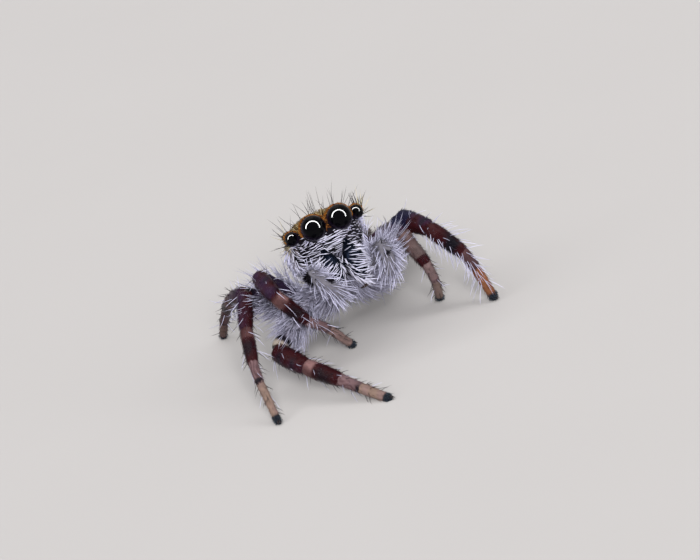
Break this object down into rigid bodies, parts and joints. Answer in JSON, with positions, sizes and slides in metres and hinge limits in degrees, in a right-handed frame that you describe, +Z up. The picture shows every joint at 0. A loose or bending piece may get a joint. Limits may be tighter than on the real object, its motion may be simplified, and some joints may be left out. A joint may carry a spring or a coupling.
{
  "type": "jumping spider",
  "caption": "Still, life-size model of a young jumping spider standing with its front raised, with large front eyes, white feelers and banded hairy legs.",
  "frame": {"origin": "on the floor, under the middle of the whole outline", "axes": "+Z up; the spider faces -Y and its own left side is towards +X; 1 unit is 1 metre"},
  "size_m": [0.0088, 0.0106, 0.0044],
  "materials": {
    "eye": "glossy black dome",
    "carapace": "dark brown skin with short golden and pale hair",
    "underside": "brown-grey skin with pale hair",
    "abdomen": "brown-grey skin with pale bands of hair",
    "jaw": "dark blue shine under white hair",
    "fang": "dark red-brown horn",
    "pale_hair": "pale skin under long white hair",
    "leg_dark": "glossy dark red-brown skin with dark and white hairs",
    "leg_pale": "tan skin with dark rings and hairs"
  },
  "bodies": {
    "root": {"abdomen": "abdomen", "carapace": "carapace", "eye_front_middle_left": "eye", "eye_front_middle_right": "eye", "eye_front_side_left": "eye", "eye_front_side_right": "eye", "eye_rear_left": "eye", "eye_rear_right": "eye", "eye_rear_small_left": "eye", "eye_rear_small_right": "eye", "fang_left": "fang", "fang_right": "fang", "jaw_left": "jaw", "jaw_right": "jaw", "leg_left_1_femur": "leg_dark", "leg_left_1_metatarsus": "leg_pale", "leg_left_1_patella": "leg_dark", "leg_left_1_tarsus": "leg_pale", "leg_left_1_tibia": "leg_dark", "leg_left_2_femur": "leg_dark", "leg_left_2_metatarsus": "leg_pale", "leg_left_2_patella": "leg_dark", "leg_left_2_tarsus": "leg_pale", "leg_left_2_tibia": "leg_dark", "leg_left_3_femur": "leg_dark", "leg_left_3_metatarsus": "leg_pale", "leg_left_3_patella": "leg_dark", "leg_left_3_tarsus": "leg_pale", "leg_left_3_tibia": "leg_dark", "leg_left_4_femur": "leg_dark", "leg_left_4_metatarsus": "leg_pale", "leg_left_4_patella": "leg_dark", "leg_left_4_tarsus": "leg_pale", "leg_left_4_tibia": "leg_dark", "leg_right_1_femur": "leg_dark", "leg_right_1_metatarsus": "leg_pale", "leg_right_1_patella": "leg_dark", "leg_right_1_tarsus": "leg_pale", "leg_right_1_tibia": "leg_dark", "leg_right_2_femur": "leg_dark", "leg_right_2_metatarsus": "leg_pale", "leg_right_2_patella": "leg_dark", "leg_right_2_tarsus": "leg_pale", "leg_right_2_tibia": "leg_dark", "leg_right_3_femur": "leg_dark", "leg_right_3_metatarsus": "leg_pale", "leg_right_3_patella": "leg_dark", "leg_right_3_tarsus": "leg_pale", "leg_right_3_tibia": "leg_dark", "leg_right_4_femur": "leg_dark", "leg_right_4_metatarsus": "leg_pale", "leg_right_4_patella": "leg_dark", "leg_right_4_tarsus": "leg_pale", "leg_right_4_tibia": "leg_dark", "palp_left": "pale_hair", "palp_right": "pale_hair", "spinnerets": "carapace", "underside": "underside", "waist": "underside"}
  },
  "joints": []
}
